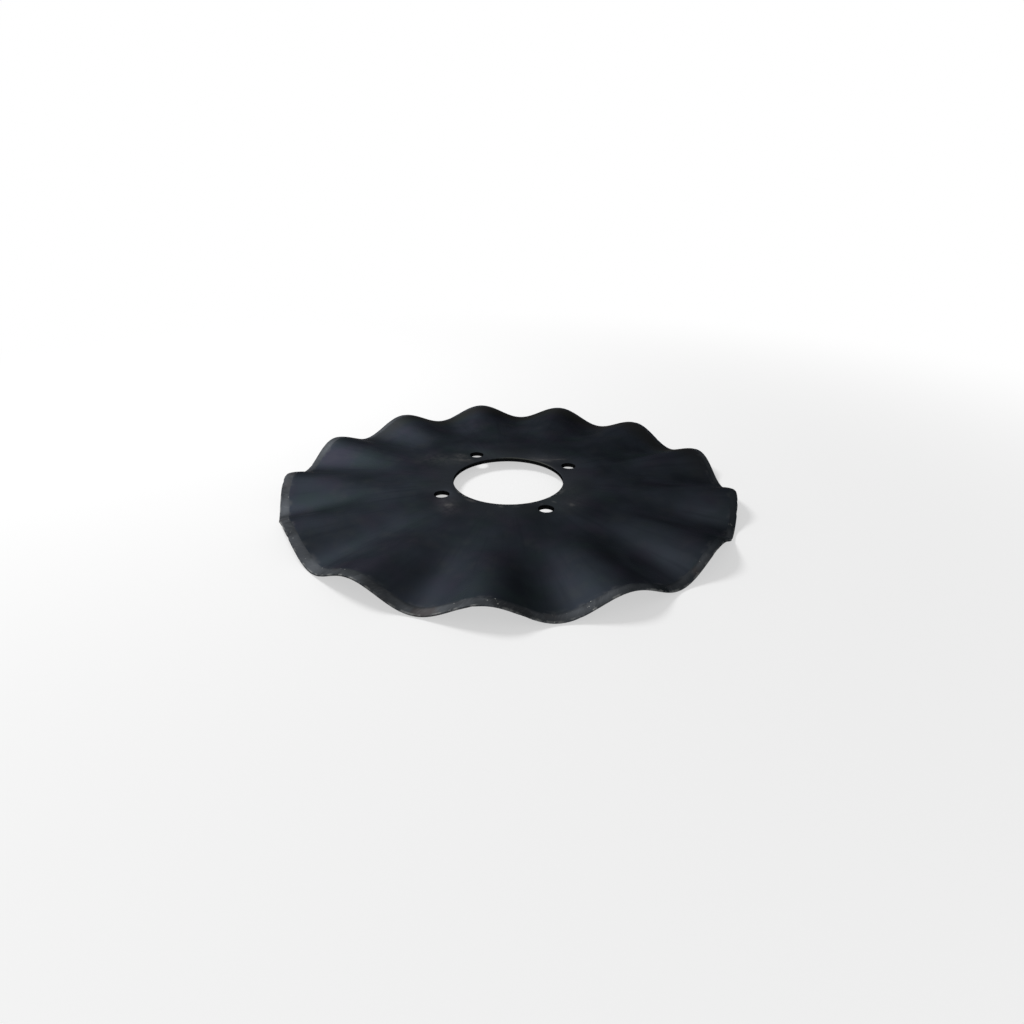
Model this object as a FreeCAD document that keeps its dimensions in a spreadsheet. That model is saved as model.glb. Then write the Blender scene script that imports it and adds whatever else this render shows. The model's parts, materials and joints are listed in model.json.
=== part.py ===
import FreeCAD, Part

import os
from math import cos, pi, radians, sin, sqrt

import Sketcher
from FreeCAD import Vector

# Wavy coulter disc of a seed drill. It is one steel plate: a flat hub with a bore and a
# bolt circle, pressed into straight radial flutes outside the hub, with its rim ground to
# a cutting edge on both faces. Millimetres and degrees. The disc lies flat, its axis is Z,
# and the origin is the middle of the bore at half the plate's thickness.

SIZES = {
    "outer_diameter": 406,
    "plate_thickness": 4,
    "bore_diameter": 102,
    "bolt_circle": 134,
    "bolt_hole": 13,
    "bolt_count": 4,
    "wave_count": 13,
    # From crest to trough at the rim, at half the plate's thickness.
    "wave_height": 15.2,
    # Where the first crest stands, turned from the first bolt hole.
    "crest_angle": -12,
    # Where the straight flutes would meet the flat hub if the bend there were sharp.
    "flute_root_diameter": 216,
    # How far that bend is spread along the radius.
    "root_bend_width": 22,
    "bevel_width": 7,
    # What grinding leaves of the thickness at the rim.
    "edge_land": 1.2,
}

# The poles that carry the shape around one wave.
POLES_PER_WAVE = 8

# The straight flutes twist as they deepen, so each side of them is laid in this many rings,
# and each ring's face needs few facets.
FLUTE_RINGS = 7

NODE = "coulter_disc"


def make_sheet(doc):
    """The driving dimensions, one row each: name and value."""
    sheet = doc.addObject("Spreadsheet::Sheet", "Sizes")
    for row, (name, value) in enumerate(SIZES.items(), start=1):
        sheet.set(f"A{row}", name)
        sheet.set(f"B{row}", str(value))
        sheet.setAlias(f"B{row}", name)
    doc.recompute()
    return sheet


class WavyPlate:
    """The pressed and ground plate before its holes are cut."""

    def __init__(self, sheet):
        self.waves = round(sheet.wave_count)
        self.crest_angle = radians(sheet.crest_angle)
        self.rise = sheet.wave_height / 2
        self.rim = sheet.outer_diameter / 2
        self.root = sheet.flute_root_diameter / 2
        self.hub = self.root - sheet.root_bend_width / 2
        self.straight = self.root + sheet.root_bend_width / 2
        self.bevel = self.rim - sheet.bevel_width
        self.half_plate = sheet.plate_thickness / 2
        self.half_land = sheet.edge_land / 2
        self.poles = self.waves * POLES_PER_WAVE

    def amplitude(self, radius):
        """Half the height of the waves: nothing on the hub, then in a straight line to the rim."""
        return self.rise * max(0, radius - self.root) / (self.rim - self.root)

    def ring(self, radius, lift):
        """Poles of the closed curve at a radius, lifted square to the wavy mid-surface.

        A cubic spline through even samples of a sine has its poles on a sine that is
        3 / (2 + cos(step)) times as high.
        """
        step = 2 * pi / self.poles
        round_scale = 3 / (2 + cos(step))
        wave_scale = 3 / (2 + cos(step * self.waves))
        rise = self.amplitude(radius)
        steepest = rise * self.waves / radius
        poles = []
        for k in range(self.poles):
            angle = k * step
            phase = self.waves * (angle - self.crest_angle)
            square = sqrt(1 + (steepest * sin(phase)) ** 2)
            poles.append(
                Vector(
                    radius * round_scale * cos(angle),
                    radius * round_scale * sin(angle),
                    rise * wave_scale * cos(phase) + lift * square,
                )
            )
        return poles

    def skin(self, rings):
        """A face over rings of poles: an even cubic around the axis, and one span across it."""
        degree = len(rings) - 1
        surface = Part.BSplineSurface()
        surface.buildFromPolesMultsKnots(
            rings,
            [degree + 1, degree + 1],
            [1] * (self.poles + 1),
            [0, 1],
            list(range(self.poles + 1)),
            False,
            True,
            degree,
            3,
        )
        return surface.toShape()

    def bend(self, lift):
        """The rounded bend that leaves the flat hub level and runs out in line with the flutes."""
        radii = [self.hub, self.root, self.straight]
        return self.skin([self.ring(radius, lift) for radius in radii])

    def flutes(self, lift):
        """The straight flutes from the bend to the bevel, in rings of even width."""
        step = (self.bevel - self.straight) / FLUTE_RINGS
        radii = [self.straight + step * k for k in range(FLUTE_RINGS + 1)]
        rings = [self.ring(radius, lift) for radius in radii]
        return [self.skin([inner, outer]) for inner, outer in zip(rings, rings[1:])]

    def ground_bevel(self, side):
        """The band that thins the plate from its full thickness to the edge land."""
        inner = self.ring(self.bevel, side * self.half_plate)
        outer = self.ring(self.rim, side * self.half_land)
        return self.skin([inner, outer])

    def edge(self):
        """The blunt cutting edge around the rim."""
        return self.skin([self.ring(self.rim, lift) for lift in (-self.half_land, self.half_land)])

    def hub_face(self, bend):
        """The flat disc inside the bend."""
        rings = [edge for edge in bend.Edges if edge.Closed]
        inner = min(rings, key=lambda edge: edge.Length)
        return Part.Face(Part.Wire(inner))

    def solid(self):
        faces = [self.edge()]
        for side in (1, -1):
            lift = side * self.half_plate
            bend = self.bend(lift)
            faces += [self.hub_face(bend), bend, *self.flutes(lift), self.ground_bevel(side)]
        shell = Part.makeShell(faces)
        shell.sewShape()
        solid = Part.makeSolid(shell)
        if solid.Volume < 0:
            solid.reverse()
        return solid


def hole_sketch(body, name, diameter, reach=None):
    """A circle on the plate's mid-plane: on the axis, or at a reach along X."""
    sketch = body.newObject("Sketcher::SketchObject", name)
    plane = next(f for f in body.Origin.OriginFeatures if f.Role == "XY_Plane")
    sketch.AttachmentSupport = [(plane, "")]
    sketch.MapMode = "FlatFace"
    start = Vector(body.Document.Sizes.bolt_circle / 2 if reach else 0, 0, 0)
    circle = sketch.addGeometry(Part.Circle(start, Vector(0, 0, 1), 1))
    if reach:
        sketch.addConstraint(Sketcher.Constraint("PointOnObject", circle, 3, -1))
        distance = Sketcher.Constraint("DistanceX", -1, 1, circle, 3, start.x)
        sketch.setExpression(f"Constraints[{sketch.addConstraint(distance)}]", reach)
    else:
        sketch.addConstraint(Sketcher.Constraint("Coincident", circle, 3, -1, 1))
    width = sketch.addConstraint(Sketcher.Constraint("Diameter", circle, 2))
    sketch.setExpression(f"Constraints[{width}]", diameter)
    return sketch


def cut_through(body, name, sketch):
    """A hole right through the plate, both ways from its mid-plane."""
    pocket = body.newObject("PartDesign::Pocket", name)
    pocket.Profile = sketch
    pocket.SideType = "Symmetric"
    pocket.Type = "ThroughAll"
    body.Document.recompute()
    return pocket


def make_disc(doc, plate):
    """The finished disc: the wavy plate with its bore and its bolt circle."""
    body = doc.addObject("PartDesign::Body", "Disc")
    body.Label = NODE
    body.BaseFeature = plate
    doc.recompute()
    bore = hole_sketch(body, "BoreSketch", "Sizes.bore_diameter")
    cut_through(body, "Bore", bore)
    hole = hole_sketch(body, "BoltSketch", "Sizes.bolt_hole", "Sizes.bolt_circle / 2")
    first_hole = cut_through(body, "BoltHole", hole)
    circle = body.newObject("PartDesign::PolarPattern", "BoltCircle")
    circle.Originals = [first_hole]
    circle.Axis = (hole, ["N_Axis"])
    circle.Angle = 360
    circle.setExpression("Occurrences", "Sizes.bolt_count")
    body.Tip = circle
    doc.recompute()
    return body


def check(doc, disc):
    """Stops before anything is written if an object failed or the disc isn't one solid."""
    failed = [o.Name for o in doc.Objects if {"Invalid", "Error"} & set(o.State)]
    if failed:
        raise RuntimeError(f"these objects failed: {failed}")
    shape = disc.Shape
    if shape.isNull() or not shape.isValid() or len(shape.Solids) != 1:
        raise RuntimeError("the disc isn't one valid solid")


def main():
    doc = FreeCAD.newDocument("CoulterDisc")
    sheet = make_sheet(doc)
    plate = doc.addObject("Part::Feature", "WavyPlate")
    plate.Shape = WavyPlate(sheet).solid()
    disc = make_disc(doc, plate)
    check(doc, disc)
    os.makedirs("parts", exist_ok=True)
    disc.Shape.exportStep(f"parts/{disc.Label}.step")


main()
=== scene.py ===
import json
from math import cos, pi, radians, sin, tan

import bmesh
import bpy
import numpy as np
from mathutils import Matrix, Vector


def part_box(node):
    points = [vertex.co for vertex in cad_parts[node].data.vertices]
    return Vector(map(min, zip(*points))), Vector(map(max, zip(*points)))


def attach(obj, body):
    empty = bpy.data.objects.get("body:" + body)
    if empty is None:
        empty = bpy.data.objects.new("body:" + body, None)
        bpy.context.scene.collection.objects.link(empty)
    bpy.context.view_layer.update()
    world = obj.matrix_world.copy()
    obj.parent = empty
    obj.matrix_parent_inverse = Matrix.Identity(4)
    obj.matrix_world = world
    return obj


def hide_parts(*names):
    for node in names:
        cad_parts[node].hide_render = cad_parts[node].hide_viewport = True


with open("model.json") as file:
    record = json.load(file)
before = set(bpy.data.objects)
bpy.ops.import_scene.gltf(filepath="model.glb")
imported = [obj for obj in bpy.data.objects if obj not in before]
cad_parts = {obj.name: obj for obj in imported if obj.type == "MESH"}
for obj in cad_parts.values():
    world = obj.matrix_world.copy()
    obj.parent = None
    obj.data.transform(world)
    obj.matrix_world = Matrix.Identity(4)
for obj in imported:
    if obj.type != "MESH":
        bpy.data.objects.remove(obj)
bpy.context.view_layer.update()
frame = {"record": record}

# Wavy coulter disc of a seed drill: a plate of hardened, blackened steel whose cutting
# edge is ground on both faces, lying on a pale studio floor. Metres and radians, in the
# frame of the disc: its axis is Z, and the origin is the middle of the bore at half the
# plate's thickness.

MM = 0.001

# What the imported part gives: its rim, its holes and its thickness.
mounts = {mount["name"]: mount for mount in frame["record"]["mounts"]}
disc_low, disc_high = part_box("coulter_disc")
RIM = disc_high.x
BORE = mounts["bore"]["dims"]["r_mm"] * MM
BOLT_CIRCLE = mounts["bolt_circle"]["dims"]["pcd_mm"] / 2 * MM
BOLT_HOLE = mounts["bolt_circle"]["dims"]["hole_r_mm"] * MM
BOLTS = mounts["bolt_circle"]["dims"]["count"]
HALF_PLATE = mounts["upper_face"]["pos_m"][2]

# The pressed flutes, as the plate has them: how many, how high at the rim, where the first
# crest stands, and the rounded bend that leads from the flat hub into them.
WAVES = 13
RISE = 7.6 * MM
CREST = radians(-12)
ROOT = 108 * MM
BEND = 22 * MM
HUB = ROOT - BEND / 2
STRAIGHT = ROOT + BEND / 2

# The ground bevel: its width, half the thickness that it leaves at the edge, the share of its
# fall that is even, while the rest steepens to the edge, and how close the plate's last points
# come to its border, so that the slope turns over there.
BEVEL = 7 * MM
HALF_LAND = 0.6 * MM
BEVEL_EVEN = 0.45
SOFT_BORDER = 1.5 * MM

# It was ground by hand against a wheel. So it is widest on the side where the wheel bore
# hardest, and its border wavers, in so many slow waves round the disc and in quick ones that
# are a share as high.
GRIND_DRIFT = 1.0 * MM
GRIND_HEAVY = radians(151)
GRIND_WAVER = 0.3 * MM
SLOW_WAVES, QUICK_WAVES = 17, 41
QUICK_SHARE = 0.6

# Use and handling have nicked the edge: how often, how deep and how far to each side, from
# the least nick to the most, and the seed that lays them out.
NICKS = 34
NICK_DEPTH = 0.15 * MM, 0.5 * MM
NICK_WIDTH = 0.8 * MM, 2.4 * MM
NICK_SEED = 5

# A punched hole's edge is drawn in by the punch.
LIP = 0.45 * MM

# How finely the disc is laid out: points round it and round its holes, and rows in each zone.
AROUND = WAVES * 96
BORE_CORNERS = 192
BOLT_HOLE_CORNERS = 48
BEND_ROWS = 7
FLUTE_ROWS = 13
BEVEL_ROWS = 7
LIP_ROWS = 3

# The order of the disc's materials.
PLATE, GROUND, CUT_STEEL_AND_SHADE = range(3)

# What each point of the mesh carries: how far it lies beyond the grinding's border, in metres.
BEYOND_BORDER = "beyond_border"

# The side of the rim where the plate turns from blue to an olive grey: a painted reflection,
# the warmer tint that the gloss takes at a glancing view.
PAINTED_WARM_REFLECTION = radians(48)

# The side of the bore that the hub's pilot has knocked, how far round it goes, and the side
# of the lip where an olive-grey painted highlight lies.
KNOCKED = radians(-115)
KNOCKED_REACH = radians(75)
PAINTED_LIP_HIGHLIGHT = radians(38)

# Rubbed places on the upper face: one beside each bolt hole, where the disc stacked above it
# bore down, and others along the bore, each in a fainter cloud. Radius, length and width in
# mm; bearing and the turn of the length in degrees; how far the rub has gone through.
RUBS = [
    (73, 102, 18, 12, 10, 0.35),
    (60.5, 102, 10, 4, 35, 0.45),
    (63, 107, 24, 9, 25, 0.35),
    (80, 116, 64, 36, 30, 0.18),
    (57, 27, 26, 8, -75, 0.45),
    (70, 15, 20, 4, -37, 0.4),
    (64, 22, 46, 20, -60, 0.14),
    (74.3, -72, 9, 6, 0, 0.38),
    (75, -73, 42, 28, 100, 0.07),
    (60.5, -78, 6, 3, 10, 0.6),
    (57.5, -89, 4, 2.5, 90, 0.5),
    (54.5, -57, 16, 4, 90, 0.3),
    (64, -51, 50, 22, -52, 0.05),
    (74, -162, 10, 8, 60, 0.5),
    (74, -163, 44, 24, 60, 0.2),
    (55, -155, 13, 5, 90, 0.45),
    (56, -125, 6, 3, 90, 0.5),
    (56, -112, 9, 3, 90, 0.3),
]

# Painted sheen and painted shade in broad patches, in the same terms: the paler patches stand
# in for sheen and the darker ones for shade. They lie on both faces alike, so they reach
# deeper than the flutes.
PAINTED_SHEEN_PATCHES = [
    (178, -18, 44, 28, 0, 0.3),
    (182, -49, 60, 26, 0, 0.5),
    (172, -77, 70, 26, 0, 0.36),
    (182, 119, 28, 18, 0, 0.3),
    (182, 147, 28, 16, 0, 0.25),
    (182, 175, 28, 16, 0, 0.25),
    (64, -174, 20, 34, 0, 0.25),
]
PAINTED_SHADE_PATCHES = [
    (148, -5, 70, 20, 0, 0.4),
    (145, -33, 70, 22, 0, 0.34),
    (148, -61, 70, 20, 0, 0.34),
    (162, -91, 80, 24, 0, 0.46),
    (165, -117, 70, 26, 0, 0.42),
    (168, -141, 60, 22, 0, 0.25),
    (130, 30, 60, 50, 0, 0.24),
    (178, 66, 44, 44, 0, 0.66),
    (184, 37, 36, 40, 0, 0.45),
    (68, 55, 34, 64, 0, 0.42),
    (70, -36, 30, 44, 0, 0.3),
]
PAINTED_PATCH_DEPTH = 30 * MM

# Where such a rub or painted patch has faded out, as a share of its half length and half width.
OVAL_END = 1.3

# Stretches of the bevel that the wheel bared more than the rest, or less: bearing in degrees,
# length in mm and by how much.
BARED = [
    (158, 26, -0.12),
    (-177, 30, -0.3),
    (-164, 26, 0.18),
    (-152, 26, -0.14),
    (-118, 34, -0.2),
    (-107, 22, 0.28),
    (-88, 24, -0.1),
    (-74, 24, 0.42),
    (-64, 14, -0.2),
    (-55, 26, 0.4),
    (-18, 70, 0.38),
]

# Places on the bevel where stones have chipped it: bearing in degrees and length in mm.
CHIPPED = [(-121.5, 9), (-110, 2), (-103, 4), (-56.5, 3), (-50.4, 4), (152, 8), (40, 7)]

# A MapRange takes a value, the range that it is read in and the range that it turns to, which
# is 0 to 1 if none is given. All of them have soft ends.
SMOOTH = {"interpolation_type": "SMOOTHSTEP"}

# A Mix has sockets of the same names for each type of value, so those for colours go by
# number: how much of the upper colour shows, the colour under it, and the upper colour.
SHARE, UNDER, OVER = 0, 6, 7


def amplitude(radius):
    """Half the waves' height: none on the hub, then a rounded bend, then a straight rise."""
    past_hub = np.clip(radius - HUB, 0, None)
    in_bend = np.minimum(past_hub, BEND)
    return RISE * (in_bend**2 / (2 * BEND) + past_hub - in_bend) / (RIM - ROOT)


def plate_points(radius, angle, lift):
    """Points at a radius and angle, lifted square to the wavy mid-surface."""
    phase = WAVES * (angle - CREST)
    height = amplitude(radius)
    steepness = height * WAVES / radius * np.sin(phase)
    up = height * np.cos(phase) + lift * np.sqrt(1 + steepness**2)
    return np.stack([radius * np.cos(angle), radius * np.sin(angle), up], -1)


def bevel_border(angle, seed):
    """Radius at which the grinding starts on one face."""
    drift = GRIND_DRIFT * np.cos(angle - GRIND_HEAVY)
    slow = np.sin(SLOW_WAVES * angle + seed)
    quick = QUICK_SHARE * np.sin(QUICK_WAVES * angle + 2 * seed)
    return RIM - BEVEL - drift - GRIND_WAVER * (slow + quick)


def nicked_rim(angle):
    """Radius of the cutting edge, with its small nicks."""
    rng = np.random.default_rng(NICK_SEED)
    places = rng.uniform(0, 2 * pi, NICKS)
    depths = rng.uniform(*NICK_DEPTH, NICKS)
    widths = rng.uniform(*NICK_WIDTH, NICKS)
    radius = np.full_like(angle, RIM)
    for place, depth, width in zip(places, depths, widths):
        away = np.angle(np.exp(1j * (angle - place))) * RIM
        radius -= depth * np.exp(-((away / width) ** 2))
    return radius


def face_rings(angle, side):
    """Rings of points of one face, from the flat hub's edge out to the cutting edge."""
    border = bevel_border(angle, seed=side)
    edge = nicked_rim(angle)
    # Where the bevel is narrow, the crests would stand above the plate's own height.
    spare = np.clip(amplitude(border) - amplitude(RIM - BEVEL), 0, None)
    rings = []
    for radius in np.linspace(HUB, STRAIGHT, BEND_ROWS, endpoint=False):
        rings.append(plate_points(np.full_like(angle, radius), angle, side * HALF_PLATE))
    # The bevel's first ring is the border itself, so the flutes stop one short of it.
    flute_outs = [*np.linspace(0, 1, FLUTE_ROWS), 1 - SOFT_BORDER / (RIM - BEVEL - STRAIGHT)]
    for out in sorted(flute_outs)[:-1]:
        radius = STRAIGHT + (border - STRAIGHT) * out
        rings.append(plate_points(radius, angle, side * (HALF_PLATE - spare * out)))
    for out in np.linspace(0, 1, BEVEL_ROWS):
        radius = border + (edge - border) * out
        fall = BEVEL_EVEN * out + (1 - BEVEL_EVEN) * out**3
        lift = (HALF_PLATE - spare) * (1 - fall) + HALF_LAND * fall
        rings.append(plate_points(radius, angle, side * lift))
    return rings


def bridge(bm, inner, outer, slot=PLATE):
    """Quads between two closed rings of as many corners."""
    for k, corner in enumerate(inner):
        face = bm.faces.new((inner[k - 1], outer[k - 1], outer[k], corner))
        face.material_index = slot


def ring_edges(bm, ring):
    """The edges around a closed ring, made where they are missing."""
    pairs = [(ring[k - 1], corner) for k, corner in enumerate(ring)]
    return [bm.edges.get(pair) or bm.edges.new(pair) for pair in pairs]


def circle(radius, z, corners, centre):
    """Points of a level circle."""
    angles = np.arange(corners) * 2 * pi / corners
    return [(centre[0] + radius * cos(a), centre[1] + radius * sin(a), z) for a in angles]


def punch_hole(bm, radius, corners, centre, lip_slot):
    """The wall of a hole with its drawn-in lips; returns its outermost ring on each face."""
    turn = np.linspace(pi / 2, 0, LIP_ROWS + 1)
    upper = [(radius + LIP - LIP * cos(a), HALF_PLATE - LIP + LIP * sin(a)) for a in turn]
    profile = upper + [(r, -z) for r, z in reversed(upper)]
    rings = []
    for r, z in profile:
        rings.append([bm.verts.new(point) for point in circle(r, z, corners, centre)])
    for k, (above, below) in enumerate(zip(rings, rings[1:])):
        bridge(bm, below, above, CUT_STEEL_AND_SHADE if k == LIP_ROWS else lip_slot)
    return rings[0], rings[-1]


def build_disc():
    """The disc as one closed mesh: its two faces, the edge between them, and its holes."""
    bm = bmesh.new()
    beyond = bm.verts.layers.float.new(BEYOND_BORDER)
    angle = np.arange(AROUND) * 2 * pi / AROUND
    first_ground = BEND_ROWS + FLUTE_ROWS
    faces = {}
    sharp = []
    for side in (1, -1):
        border = bevel_border(angle, seed=side)
        rings = []
        for points in face_rings(angle, side):
            ring = [bm.verts.new(point) for point in points]
            for corner, limit in zip(ring, border):
                corner[beyond] = corner.co.xy.length - limit
            rings.append(ring)
        for k, (inner, outer) in enumerate(zip(rings, rings[1:])):
            bridge(bm, inner, outer, GROUND if k >= first_ground else PLATE)
        sharp += ring_edges(bm, rings[-1])
        faces[side] = rings
    bridge(bm, faces[-1][-1], faces[1][-1], GROUND)

    holes = [punch_hole(bm, BORE, BORE_CORNERS, (0, 0), PLATE)]
    for k in range(BOLTS):
        place = 2 * pi * k / BOLTS
        centre = (BOLT_CIRCLE * cos(place), BOLT_CIRCLE * sin(place))
        # The bolt holes' lips take the walls' near-black: painted shade, darkening their
        # outline.
        holes.append(punch_hole(bm, BOLT_HOLE, BOLT_HOLE_CORNERS, centre, CUT_STEEL_AND_SHADE))

    # The flat hub on each face, between the bend's first ring and the holes.
    for end, side in enumerate((1, -1)):
        edges = ring_edges(bm, faces[side][0])
        for hole in holes:
            edges += ring_edges(bm, hole[end])
        bmesh.ops.triangle_fill(bm, edges=edges, use_beauty=True, normal=(0, 0, side))

    bmesh.ops.recalc_face_normals(bm, faces=bm.faces)
    for face in bm.faces:
        face.smooth = True
    for edge in sharp:
        edge.smooth = False
    # The holes' corners, which are all well inside the hub, count as far from the border.
    for corner in bm.verts:
        if corner.co.xy.length < HUB - MM:
            corner[beyond] = HUB - RIM
    mesh = bpy.data.meshes.new("wavy_disc")
    bm.to_mesh(mesh)
    bm.free()
    disc = bpy.data.objects.new("wavy_disc", mesh)
    bpy.context.scene.collection.objects.link(disc)
    return disc


def linear(colour):
    """An sRGB hex colour as linear RGBA."""
    channels = [int(colour[k : k + 2], 16) / 255 for k in (1, 3, 5)]
    return [c / 12.92 if c <= 0.04045 else ((c + 0.055) / 1.055) ** 2.4 for c in channels] + [1]


def add(tree, kind, inputs=(), output=None, **settings):
    """Adds a shader node with its settings and links, and gives its output.

    The inputs come in the node's own order, or keyed by name or number. Each is a number, a
    point, a hex colour or another node's output. The output is the first in use, or is named.
    """
    node = tree.nodes.new("ShaderNode" + kind)
    for name, value in settings.items():
        setattr(node, name, value)
    for key, value in inputs.items() if isinstance(inputs, dict) else enumerate(inputs):
        if isinstance(value, bpy.types.NodeSocket):
            tree.links.new(value, node.inputs[key])
        else:
            value = linear(value) if isinstance(value, str) else value
            node.inputs[key].default_value = value
    in_use = (socket for socket in node.outputs if socket.enabled)
    return node.outputs[output] if output else next(in_use, None)


def new_material(name):
    """An empty material and its nodes."""
    material = bpy.data.materials.new(name)
    material.use_nodes = True
    material.node_tree.nodes.clear()
    return material, material.node_tree


def on_disc(tree):
    """Where a shading point lies: its place, its radius, and the bearing that it lies on."""
    place = add(tree, "TexCoord", output="Object")
    flat = add(tree, "VectorMath", [place, (1, 1, 0)], operation="MULTIPLY")
    radius = add(tree, "VectorMath", [flat], operation="LENGTH")
    bearing = add(tree, "VectorMath", [flat], operation="NORMALIZE")
    return place, radius, bearing


def facing(tree, bearing, side):
    """How squarely a bearing points to one side of the disc: 1 at that side, -1 across."""
    way = (cos(side), sin(side), 0)
    return add(tree, "VectorMath", [bearing, way], operation="DOT_PRODUCT")


def patches(tree, place, size, seed, shades, detail=2):
    """Soft patches of one size, laid out by their seed.

    The shades are a MapRange's ranges: those of the noise and of what it turns to.
    """
    noise = {"Vector": place, "W": seed, "Scale": 1 / size, "Detail": detail}
    noise = add(tree, "TexNoise", noise, noise_dimensions="4D")
    return add(tree, "MapRange", [noise, *shades], **SMOOTH)


def flowing(tree, bearing, radius, across, along):
    """Streaks of noise that run outwards: how wide they are at the rim, and how long."""
    side = add(tree, "VectorMath", {0: bearing, "Scale": RIM / across}, operation="SCALE")
    out = add(tree, "Math", [radius, 1 / along], operation="MULTIPLY")
    lengthways = add(tree, "CombineXYZ", {"Z": out})
    flow = add(tree, "VectorMath", [side, lengthways])
    return add(tree, "TexNoise", {"Vector": flow, "Scale": 1, "Detail": 2})


def within(tree, place, ovals, height, half_depth):
    """How strongly a point lies within ovals at one height, which fade out at their ends."""
    total = 0
    for radius, bearing, length, width, turn, share in ovals:
        a = radians(bearing)
        middle = (radius * MM * cos(a), radius * MM * sin(a), height)
        half = (length / 2 * MM, width / 2 * MM, half_depth)
        oval = {"Location": middle, "Rotation": (0, 0, a + radians(turn)), "Scale": half}
        spot = add(tree, "Mapping", {"Vector": place, **oval}, vector_type="TEXTURE")
        away = add(tree, "VectorMath", [spot], operation="LENGTH")
        mark = add(tree, "MapRange", [away, 0, OVAL_END, share, 0], **SMOOTH)
        total = add(tree, "Math", [total, mark])
    return total


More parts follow.
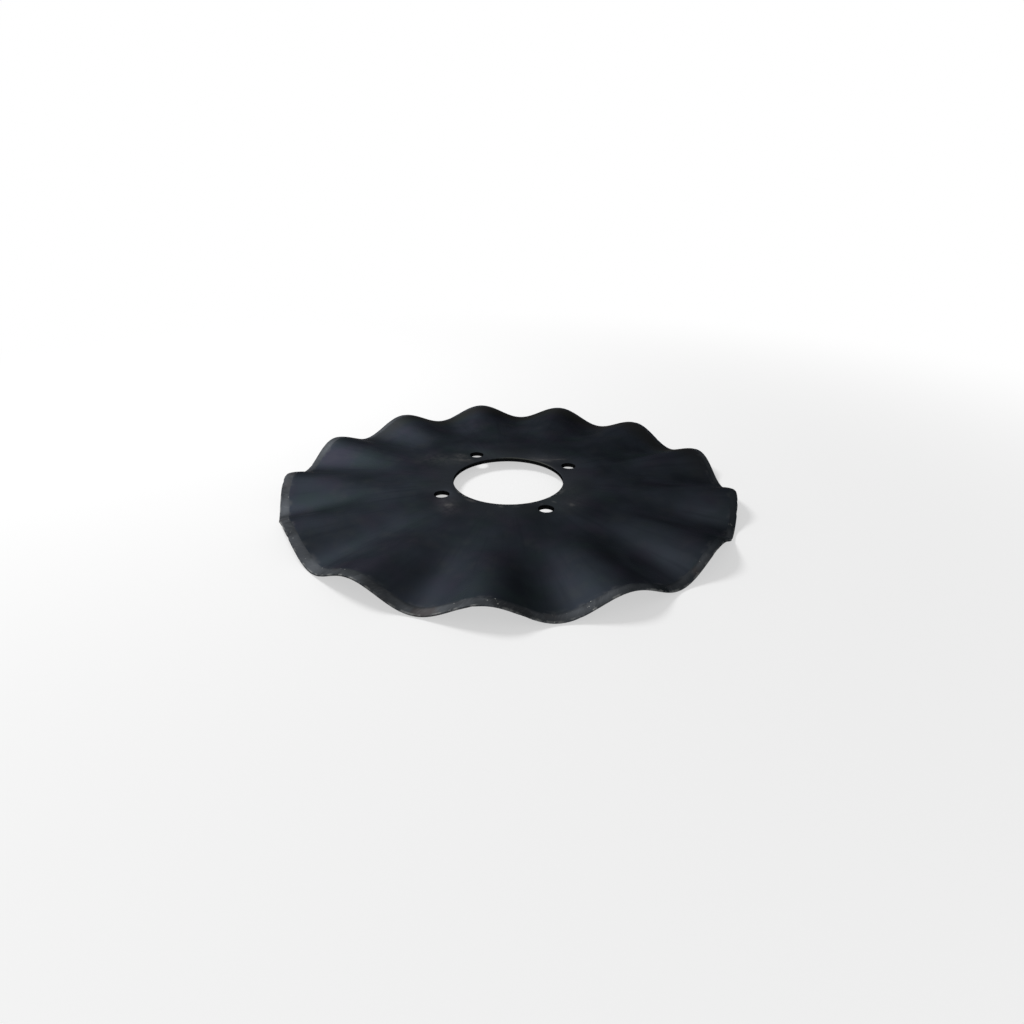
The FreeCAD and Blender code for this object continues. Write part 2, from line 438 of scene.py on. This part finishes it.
def blackened_steel():
    """Hot pressed and oil quenched plate: a thin blue-black scale, soft and even from afar.

    The eye gets a dull satin sheen with a blue cast, cloudy where the quench ran unevenly,
    with faint streaks along the flutes, rubbed places on the hub and scuffs along the bevel.
    Broad patches of painted sheen and painted shade lie over the flutes and the hub, a painted
    reflection in olive grey inside the bevel on one side, and a painted highlight on the bore's
    far lip.
    Its gloss stays dull at a glancing view, as a scaled steel's does.
    """
    material, tree = new_material("blackened_steel")
    place, radius, bearing = on_disc(tree)

    # Quench clouds some 50 mm across, with smaller and greyer ones of 12 mm in them.
    clouds = add(tree, "TexNoise", {"Vector": place, "Scale": 1 / (50 * MM), "Detail": 3})
    share = add(tree, "MapRange", [clouds, 0.3, 0.7], **SMOOTH)
    scale = {SHARE: share, UNDER: "#292e34", OVER: "#333840"}
    colour = add(tree, "Mix", scale, data_type="RGBA")
    share = patches(tree, place, 12 * MM, 1, (0.45, 0.8, 0, 0.5), detail=3)
    colour = add(tree, "Mix", {SHARE: share, UNDER: colour, OVER: "#383b3e"}, data_type="RGBA")

    # Painted sheen in the paler patches and painted shade in the darker ones.
    share = within(tree, place, PAINTED_SHEEN_PATCHES, 0, PAINTED_PATCH_DEPTH)
    colour = add(tree, "Mix", {SHARE: share, UNDER: colour, OVER: "#4a5059"}, data_type="RGBA")
    share = within(tree, place, PAINTED_SHADE_PATCHES, 0, PAINTED_PATCH_DEPTH)
    colour = add(tree, "Mix", {SHARE: share, UNDER: colour, OVER: "#15171a"}, data_type="RGBA")

    # The faint violet and green of tempering, in turns of 30 mm.
    temper = {"Vector": place, "W": 2, "Scale": 1 / (30 * MM)}
    temper = add(tree, "TexNoise", temper, noise_dimensions="4D")
    share = add(tree, "MapRange", [temper, 0.5, 0.7, 0, 0.4], **SMOOTH)
    colour = add(tree, "Mix", {SHARE: share, UNDER: colour, OVER: "#35313d"}, data_type="RGBA")
    share = add(tree, "MapRange", [temper, 0.5, 0.3, 0, 0.4], **SMOOTH)
    colour = add(tree, "Mix", {SHARE: share, UNDER: colour, OVER: "#2c3837"}, data_type="RGBA")

    # Streaks of the oil running along the flutes, 7 mm wide at the rim and 70 mm long.
    streaks = flowing(tree, bearing, radius, 7 * MM, 70 * MM)
    share = add(tree, "MapRange", [streaks, 0.5, 0.75, 0, 0.35], **SMOOTH)
    colour = add(tree, "Mix", {SHARE: share, UNDER: colour, OVER: "#272b32"}, data_type="RGBA")

    # Inside the bevel, most on one side, an olive grey is painted in: a painted reflection, the
    # warmer tint that the gloss takes at a glancing view.
    beyond = add(tree, "Attribute", output="Fac", attribute_name=BEYOND_BORDER)
    near = add(tree, "MapRange", [beyond, -26 * MM, -4 * MM, 0, 0.45], **SMOOTH)
    warm_reflection = facing(tree, bearing, PAINTED_WARM_REFLECTION)
    warm_reflection = add(tree, "MapRange", [warm_reflection, 0.1, 0.75], **SMOOTH)
    share = add(tree, "Math", [near, warm_reflection], operation="MULTIPLY")
    colour = add(tree, "Mix", {SHARE: share, UNDER: colour, OVER: "#36342e"}, data_type="RGBA")

    # The hub is handled and clamped, so it is greyer all over, and rubbed through in places,
    # in a grain of 4 mm.
    share = add(tree, "MapRange", [radius, HUB, BORE, 0, 0.4], **SMOOTH)
    colour = add(tree, "Mix", {SHARE: share, UNDER: colour, OVER: "#414448"}, data_type="RGBA")
    rub = within(tree, place, RUBS, HALF_PLATE, HALF_PLATE / 2)
    grain = add(tree, "TexNoise", {"Vector": place, "Scale": 1 / (4 * MM), "Detail": 3})
    grain = add(tree, "MapRange", [grain, 0.3, 0.65, 0.35, 1], **SMOOTH)
    rub = add(tree, "Math", [rub, grain], operation="MULTIPLY")

    # Scuffs in the last 4 mm before the grinding's border, in patches of 8 mm.
    near = add(tree, "MapRange", [beyond, -4 * MM, 0], **SMOOTH)
    scuffs = patches(tree, place, 8 * MM, 3, (0.45, 0.7, 0, 0.2), detail=4)
    rub = add(tree, "Math", [scuffs, near, rub], operation="MULTIPLY_ADD")
    colour = add(tree, "Mix", {SHARE: rub, UNDER: colour, OVER: "#6f6e6e"}, data_type="RGBA")

    # Knocks of bright steel along the bore's lip, 3 mm apart and in groups of 14 mm, on the
    # side that its hub's pilot went in by.
    past_bore = add(tree, "Math", [radius, BORE], operation="SUBTRACT")
    lip = add(tree, "MapRange", [past_bore, 0.8 * MM, 2.6 * MM, 1, 0], **SMOOTH)
    knocked = facing(tree, bearing, KNOCKED)
    knocked = add(tree, "MapRange", [knocked, cos(KNOCKED_REACH), 0.6], **SMOOTH)
    knocks = patches(tree, place, 3 * MM, 4, (0.5, 0.6))
    groups = patches(tree, place, 14 * MM, 5, (0.4, 0.5))
    share = lip
    for part in (knocked, knocks, groups):
        share = add(tree, "Math", [share, part], operation="MULTIPLY")
    colour = add(tree, "Mix", {SHARE: share, UNDER: colour, OVER: "#868784"}, data_type="RGBA")

    # Far from there an olive-grey painted highlight lies along the lip.
    lip_highlight = facing(tree, bearing, PAINTED_LIP_HIGHLIGHT)
    lip_highlight = add(tree, "MapRange", [lip_highlight, 0.75, 0.97, 0, 0.4], **SMOOTH)
    share = add(tree, "Math", [lip, lip_highlight], operation="MULTIPLY")
    colour = add(tree, "Mix", {SHARE: share, UNDER: colour, OVER: "#5f6056"}, data_type="RGBA")

    # The gloss is as cloudy as the scale, and duller where it is rubbed.
    gloss = add(tree, "MapRange", [clouds, 0.25, 0.75, 0.61, 0.68], **SMOOTH)
    rough = add(tree, "Math", [rub, 0.12, gloss], operation="MULTIPLY_ADD")

    # The plate isn't quite even after pressing: swells of 60 mm, a tenth of a millimetre up
    # and down. The scale's grain, under half a millimetre, is drawn 1.6 mm wide to show.
    swell = {"Vector": place, "W": 6, "Scale": 1 / (60 * MM)}
    swell = add(tree, "TexNoise", swell, noise_dimensions="4D")
    swell = add(tree, "Bump", {"Height": swell, "Distance": 0.5 * MM})
    grain = {"Vector": place, "W": 7, "Scale": 1 / (1.6 * MM), "Detail": 3}
    grain = add(tree, "TexNoise", grain, noise_dimensions="4D")
    bump = add(tree, "Bump", {"Height": grain, "Distance": 0.02 * MM, "Normal": swell})

    look = {"Base Color": colour, "Metallic": 1, "Specular Tint": "#827367"}
    shader = add(tree, "BsdfPrincipled", {**look, "Roughness": rough, "Normal": bump})
    add(tree, "OutputMaterial", [shader])
    return material


def ground_steel():
    """The bevel: the scale ground off after hardening, and the bare steel left to tarnish.

    The eye gets a greyer and duller band, brightest where the wheel bore hardest and darker
    on the far side, with its fine slanting marks, brown stretches and bright chips.
    """
    material, tree = new_material("ground_steel")
    place, radius, bearing = on_disc(tree)

    # The wheel bore hardest on one side, where the band is widest, and only skimmed the scale
    # across from there. It bared the steel in stretches: of 22 mm, and those that are listed.
    hard = facing(tree, bearing, GRIND_HEAVY)
    stretches = add(tree, "TexNoise", {"Vector": place, "Scale": 1 / (22 * MM), "Detail": 3})
    for degrees, length, share in BARED:
        inside = facing(tree, bearing, radians(degrees))
        end = cos(length / 2 * MM / RIM)
        inside = add(tree, "MapRange", [inside, end, 1, 0, share], **SMOOTH)
        stretches = add(tree, "Math", [stretches, inside])
    bare = add(tree, "Math", [stretches, 1.5, hard], operation="MULTIPLY_ADD")
    bare = add(tree, "MapRange", [bare, -0.1, 0.5], **SMOOTH)
    steel = {SHARE: bare, UNDER: "#353a3f", OVER: "#4a4d51"}
    colour = add(tree, "Mix", steel, data_type="RGBA")

    # Tarnish to brown in patches of 24 mm.
    brown = patches(tree, place, 24 * MM, 1, (0.56, 0.68, 0, 0.5), detail=4)
    share = add(tree, "Math", [brown, bare], operation="MULTIPLY")
    colour = add(tree, "Mix", {SHARE: share, UNDER: colour, OVER: "#463e3b"}, data_type="RGBA")

    # The skimmed scale and the bare steel both run in darker and lighter stretches.
    share = add(tree, "MapRange", [stretches, 0.5, 0.3, 0, 0.5], **SMOOTH)
    colour = add(tree, "Mix", {SHARE: share, UNDER: colour, OVER: "#242628"}, data_type="RGBA")

    # The wheel's marks slant across the band by 35 degrees and are 6 mm long. They are 0.2 mm
    # apart, drawn 0.9 mm apart to show.
    slant = add(tree, "Math", [radius, tan(radians(35)) / RIM], operation="MULTIPLY")
    turned = {"Vector": bearing, "Angle": slant}
    turned = add(tree, "VectorRotate", turned, rotation_type="Z_AXIS")
    marks = flowing(tree, turned, radius, 0.9 * MM, 6 * MM)
    share = add(tree, "MapRange", [marks, 0.5, 0.75, 0, 0.35], **SMOOTH)
    share = add(tree, "Math", [share, bare], operation="MULTIPLY")
    colour = add(tree, "Mix", {SHARE: share, UNDER: colour, OVER: "#616365"}, data_type="RGBA")

    # The scale thins out over 2.5 mm at the border, sooner in some patches of 9 mm, and where
    # the wheel bore hard.
    beyond = add(tree, "Attribute", output="Fac", attribute_name=BEYOND_BORDER)
    near = add(tree, "MapRange", [beyond, 0, 2.5 * MM, 0.85, 0], **SMOOTH)
    skimmed = add(tree, "MapRange", [hard, 0.9, 0.3, 0.3, 1], **SMOOTH)
    share = patches(tree, place, 9 * MM, 2, (0.35, 0.55, 0.3, 1), detail=3)
    for part in (skimmed, near):
        share = add(tree, "Math", [share, part], operation="MULTIPLY")
    colour = add(tree, "Mix", {SHARE: share, UNDER: colour, OVER: "#2f3338"}, data_type="RGBA")

    # The last millimetre to the cutting edge is worn paler, in lengths of 6 mm.
    edge = add(tree, "MapRange", [radius, RIM - 1.2 * MM, RIM - 0.4 * MM], **SMOOTH)
    worn = patches(tree, place, 6 * MM, 3, (0.45, 0.6, 0, 0.5))
    share = add(tree, "Math", [worn, edge], operation="MULTIPLY")
    colour = add(tree, "Mix", {SHARE: share, UNDER: colour, OVER: "#8b8c8b"}, data_type="RGBA")

    # Chips down to bright steel, 0.8 mm across: single ones 4 mm apart in groups of 20 mm, and
    # close ones in the chipped places.
    chips = add(tree, "TexVoronoi", {"Vector": place, "Scale": 1 / (4 * MM)})
    chips = add(tree, "MapRange", [chips, 0.07, 0.12, 1, 0], **SMOOTH)
    groups = patches(tree, place, 20 * MM, 4, (0.5, 0.62))
    chips = add(tree, "Math", [chips, groups], operation="MULTIPLY")
    close = add(tree, "TexVoronoi", {"Vector": place, "Scale": 1 / (2.2 * MM)})
    close = add(tree, "MapRange", [close, 0.14, 0.24, 1, 0], **SMOOTH)
    joined = {"operation": "MULTIPLY_ADD", "use_clamp": True}
    for degrees, length in CHIPPED:
        inside = facing(tree, bearing, radians(degrees))
        end = cos(length / 2 * MM / RIM)
        inside = add(tree, "Math", [inside, end], operation="GREATER_THAN")
        chips = add(tree, "Math", [inside, close, chips], **joined)
    colour = add(tree, "Mix", {SHARE: chips, UNDER: colour, OVER: "#959694"}, data_type="RGBA")

    # The gloss follows the stretches, and the wheel's marks score the steel.
    rough = add(tree, "MapRange", [stretches, 0.3, 0.7, 0.72, 0.66], **SMOOTH)
    scored = add(tree, "Bump", {"Height": marks, "Distance": 0.04 * MM})
    look = {"Base Color": colour, "Metallic": 1, "Specular Tint": "#787573"}
    shader = add(tree, "BsdfPrincipled", {**look, "Roughness": rough, "Normal": scored})
    add(tree, "OutputMaterial", [shader])
    return material


def cut_steel_and_shade():
    """The punched walls of the holes: torn metal under the blackest of the scale and oil.
    On the bolt holes' lips the same near-black is painted shade, darkening their outline.

    The eye gets a matt near-black with a coarse tear, 2 mm wide.
    """
    material, tree = new_material("cut_steel_and_shade")
    place = add(tree, "TexCoord", output="Object")
    tearing = add(tree, "TexNoise", {"Vector": place, "Scale": 1 / (2 * MM), "Detail": 3})
    share = add(tree, "MapRange", [tearing, 0.35, 0.7], **SMOOTH)
    oiled = {SHARE: share, UNDER: "#0d0e0f", OVER: "#1b1c1d"}
    colour = add(tree, "Mix", oiled, data_type="RGBA")
    torn = add(tree, "Bump", {"Height": tearing, "Distance": 0.1 * MM})
    look = {"Base Color": colour, "Metallic": 1, "Specular Tint": "#595959"}
    shader = add(tree, "BsdfPrincipled", {**look, "Roughness": 0.6, "Normal": torn})
    add(tree, "OutputMaterial", [shader])
    return material


def towards(azimuth, elevation):
    """The direction from the disc to a camera or lamp; azimuth 0 is in front, at -Y."""
    level = cos(elevation)
    return Vector((sin(azimuth) * level, -cos(azimuth) * level, sin(elevation)))


def add_camera():
    """The photograph's view: close to the disc, and looking a little below it."""
    azimuth, elevation, distance = radians(-28.77), radians(24.99), 566.5 * MM
    look_down, aside, roll = radians(27.895), radians(0.42), radians(0.61)
    lens = bpy.data.cameras.new("camera")
    lens.sensor_width = 36
    lens.lens = 21.32
    camera = bpy.data.objects.new("camera", lens)
    bpy.context.scene.collection.objects.link(camera)
    place = Matrix.Translation(towards(azimuth, elevation) * distance)
    turn = Matrix.Rotation(azimuth - aside, 4, "Z")
    tilt = Matrix.Rotation(pi / 2 - look_down, 4, "X")
    camera.matrix_world = place @ turn @ tilt @ Matrix.Rotation(roll, 4, "Z")
    bpy.context.scene.camera = camera


def add_softbox():
    """A round softbox to the left, beyond the disc."""
    azimuth, elevation, distance = radians(-149.5), radians(50.5), 1.53
    light = bpy.data.lights.new("softbox", "AREA")
    light.shape = "DISK"
    light.size = 0.5
    light.energy = 19
    lamp = bpy.data.objects.new("softbox", light)
    bpy.context.scene.collection.objects.link(lamp)
    lamp.location = towards(azimuth, elevation) * distance
    lamp.rotation_euler = towards(azimuth, elevation).to_track_quat("Z", "Y").to_euler()


def add_floor():
    """A pale floor that keeps the disc's shadow and runs out to plain white.

    Cameras, glosses and glass see it partly white of itself: half near the disc, where the
    shadow falls, and wholly beyond the softbox's pool of light.
    """
    sheet = {"vertices": 64, "radius": 60, "fill_type": "NGON"}
    bpy.ops.mesh.primitive_circle_add(**sheet, location=(0, 0, disc_low.z))
    floor = bpy.context.object
    floor.name = "floor"
    material, tree = new_material("pale_floor")
    place = add(tree, "TexCoord", output="Object")
    away = add(tree, "VectorMath", [place], operation="LENGTH")
    shadow_end, pool_end, white_in_shadow = 0.22, 1, 0.55
    plain = [away, shadow_end, pool_end, white_in_shadow, 1]
    plain = add(tree, "MapRange", plain, **SMOOTH)
    camera = add(tree, "LightPath", output="Is Camera Ray")
    gloss = add(tree, "LightPath", output="Is Glossy Ray")
    glass = add(tree, "LightPath", output="Is Transmission Ray")
    seen = add(tree, "Math", [camera, gloss])
    seen = add(tree, "Math", [seen, glass], use_clamp=True)
    share = add(tree, "Math", [seen, plain], operation="MULTIPLY")
    paper = add(tree, "BsdfDiffuse", {"Color": "#f3f3f3"})
    white = add(tree, "Emission", {"Color": "#ffffff", "Strength": 1})
    mixed = add(tree, "MixShader", [share, paper, white])
    add(tree, "OutputMaterial", [mixed])
    floor.data.materials.append(material)


def add_studio():
    """White walls that meet the floor, under a dimmer ceiling.

    They are so smooth a light that picking directions for them only adds specks.
    """
    world = bpy.data.worlds.new("studio")
    bpy.context.scene.world = world
    world.use_nodes = True
    tree = world.node_tree
    tree.nodes.clear()
    way = add(tree, "TexCoord", output="Generated")
    height = add(tree, "SeparateXYZ", [way], output="Z")
    wall_top, ceiling = sin(radians(12)), sin(radians(19))
    wall_light, ceiling_light = 1, 0.25
    light = [height, wall_top, ceiling, wall_light, ceiling_light]
    light = add(tree, "MapRange", light, **SMOOTH)
    background = add(tree, "Background", {"Color": "#ffffff", "Strength": light})
    add(tree, "OutputWorld", [background])
    world.cycles.sampling_method = "NONE"


disc = build_disc()
for material in (blackened_steel(), ground_steel(), cut_steel_and_shade()):
    disc.data.materials.append(material)
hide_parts("coulter_disc")
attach(disc, "root")

add_camera()
add_softbox()
add_floor()
add_studio()
bpy.context.scene.view_settings.view_transform = "Standard"
